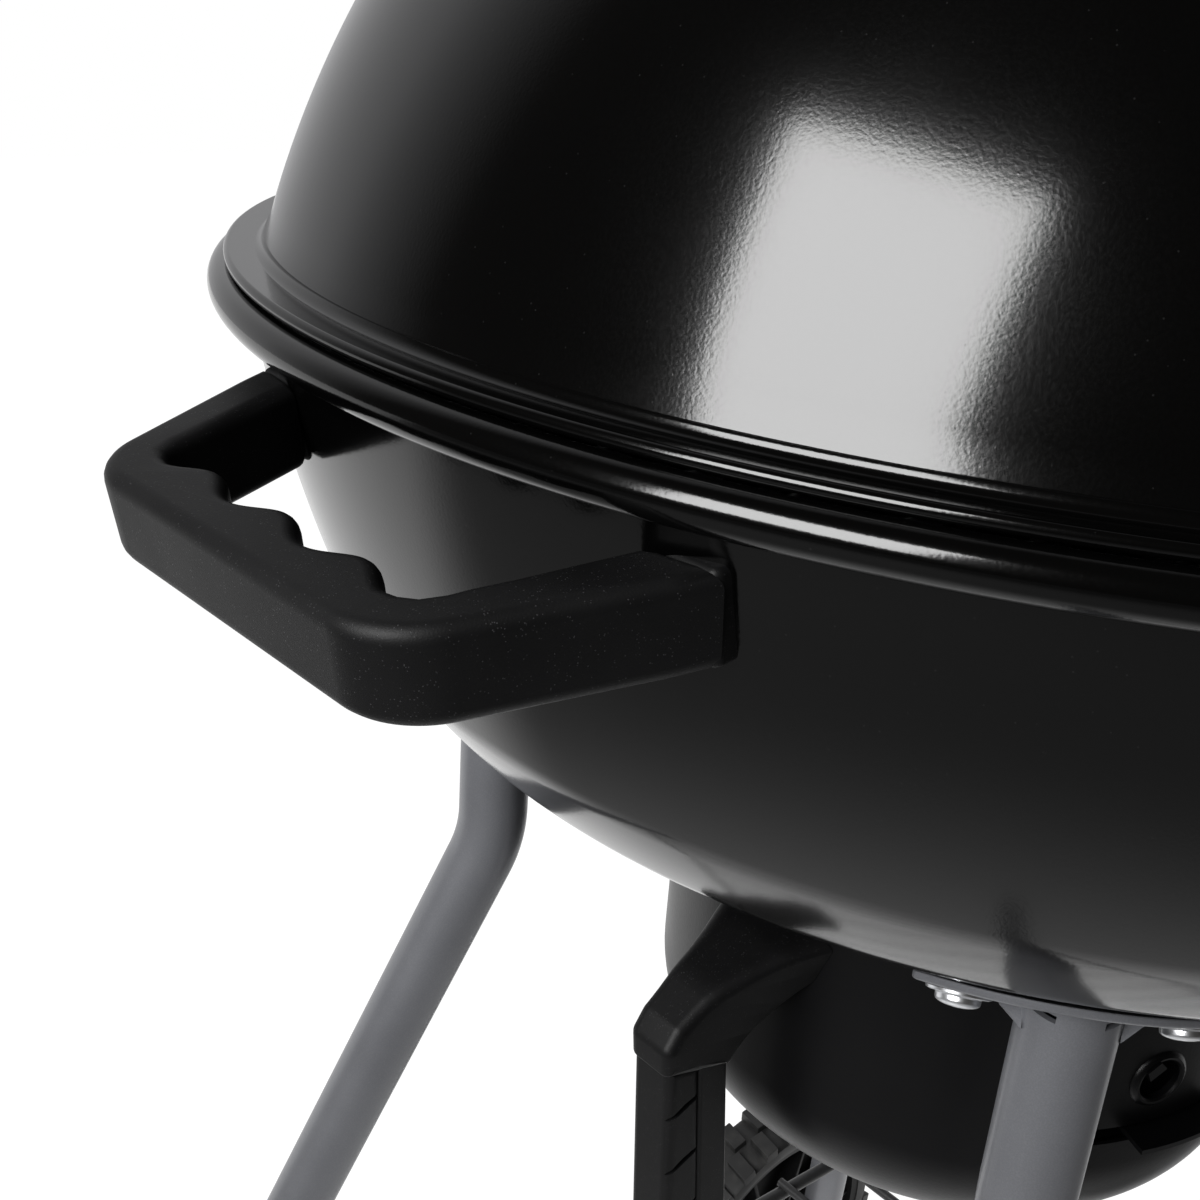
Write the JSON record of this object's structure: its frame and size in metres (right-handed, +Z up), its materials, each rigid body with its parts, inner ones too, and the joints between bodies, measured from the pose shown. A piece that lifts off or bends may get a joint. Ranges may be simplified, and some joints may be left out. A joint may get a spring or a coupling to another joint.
{
  "type": "kettle charcoal grill",
  "caption": "Black kettle charcoal grill with a domed lid, towing handle, hanging ash pot with a pistol grip, and splayed tube legs, two of them on wheels.",
  "frame": {"origin": "on the kettle's vertical axis at floor level", "axes": "+Z up; the towing handle points to -X and the wheels are on the +X side; the cook stands on the -Y side, where the thermometer is"},
  "size_m": [0.6414, 0.5422, 1.0377],
  "materials": {
    "black_enamel": "gloss porcelain enamel, fine orange peel",
    "black_paint": "satin heat-resistant paint",
    "black_plastic": "fine moulded grain",
    "black_steel": "satin",
    "grey_paint": "metallic satin",
    "zinc": "bright zinc plate",
    "bright_steel": "nickel plated",
    "rubber_tread": "matt",
    "dial_white": "matt print",
    "needle_red": "satin",
    "clear_glass": "clear"
  },
  "bodies": {
    "frame": {"bowl_shell": "black_enamel", "grate_brackets": "zinc", "tow_handle": "black_plastic", "tow_handle_brackets": "black_steel", "tow_handle_screws": "zinc", "leg_front_left": "grey_paint", "leg_front_right": "grey_paint", "leg_rear_left": "grey_paint", "leg_rear_right": "grey_paint", "flange_front_left": "grey_paint", "flange_front_right": "grey_paint", "flange_rear_left": "grey_paint", "flange_rear_right": "grey_paint", "flange_screws": "zinc", "flange_nuts": "zinc", "foot_left": "black_plastic", "foot_right": "black_plastic", "axle": "zinc", "axle_cap_left": "black_plastic", "axle_cap_right": "black_plastic", "shelf_rack": "black_steel", "shelf_screws": "zinc", "pot_hooks": "zinc"},
    "lid": {"lid_shell": "black_enamel", "lid_handle": "black_plastic", "lid_handle_posts": "zinc", "lid_heat_shield": "bright_steel", "lid_handle_screws": "zinc", "lid_hook": "zinc", "lid_damper_rivet": "zinc", "thermometer_case": "bright_steel", "thermometer_dial": "dial_white", "thermometer_lens": "clear_glass", "thermometer_nut": "zinc"},
    "lid_damper": {"lid_damper": "bright_steel"},
    "needle": {"thermometer_needle": "needle_red"},
    "cooking_grate": {"cooking_grate": "bright_steel"},
    "charcoal_grate": {"charcoal_grate": "bright_steel"},
    "ash_pot": {"ash_pot": "black_paint", "ash_arm": "black_plastic", "ash_grip": "black_plastic", "ash_screws": "zinc"},
    "pot_damper": {"pot_damper": "black_paint"},
    "wheel_left": {"wheel_left": "black_plastic", "tyre_left": "rubber_tread"},
    "wheel_right": {"wheel_right": "black_plastic", "tyre_right": "rubber_tread"}
  },
  "joints": [
    {"name": "lid_lift", "type": "slide", "parent": "frame", "child": "lid", "axis": [0, 0, 1], "range_m": [0, 0.35]},
    {"name": "lid_damper_turn", "type": "hinge", "parent": "lid", "child": "lid_damper", "pos_m": [0.04513, 0.07817, 0.96495], "axis": [0.227, 0.3932, 0.891], "range_deg": [0, 36]},
    {"name": "needle_turn", "type": "hinge", "parent": "lid", "child": "needle", "pos_m": [0, -0.16753, 0.90913], "axis": [0, -0.7431, 0.6691], "range_deg": [-120, 120]},
    {"name": "cooking_grate_lift", "type": "slide", "parent": "frame", "child": "cooking_grate", "axis": [0, 0, 1], "range_m": [0, 0.02]},
    {"name": "charcoal_grate_lift", "type": "slide", "parent": "frame", "child": "charcoal_grate", "axis": [0, 0, 1], "range_m": [0, 0.05]},
    {"name": "ash_pot_drop", "type": "slide", "parent": "frame", "child": "ash_pot", "axis": [0, 0, -1], "range_m": [0, 0.12]},
    {"name": "pot_damper_turn", "type": "hinge", "parent": "ash_pot", "child": "pot_damper", "pos_m": [0, 0, 0.58], "axis": [0, 0, 1], "range_deg": [-11, 11]},
    {"name": "wheel_left_spin", "type": "hinge", "parent": "frame", "child": "wheel_left", "pos_m": [0.21344, 0.2, 0.102], "axis": [0, 1, 0], "continuous": true},
    {"name": "wheel_right_spin", "type": "hinge", "parent": "frame", "child": "wheel_right", "pos_m": [0.21344, -0.2, 0.102], "axis": [0, 1, 0], "continuous": true}
  ]
}
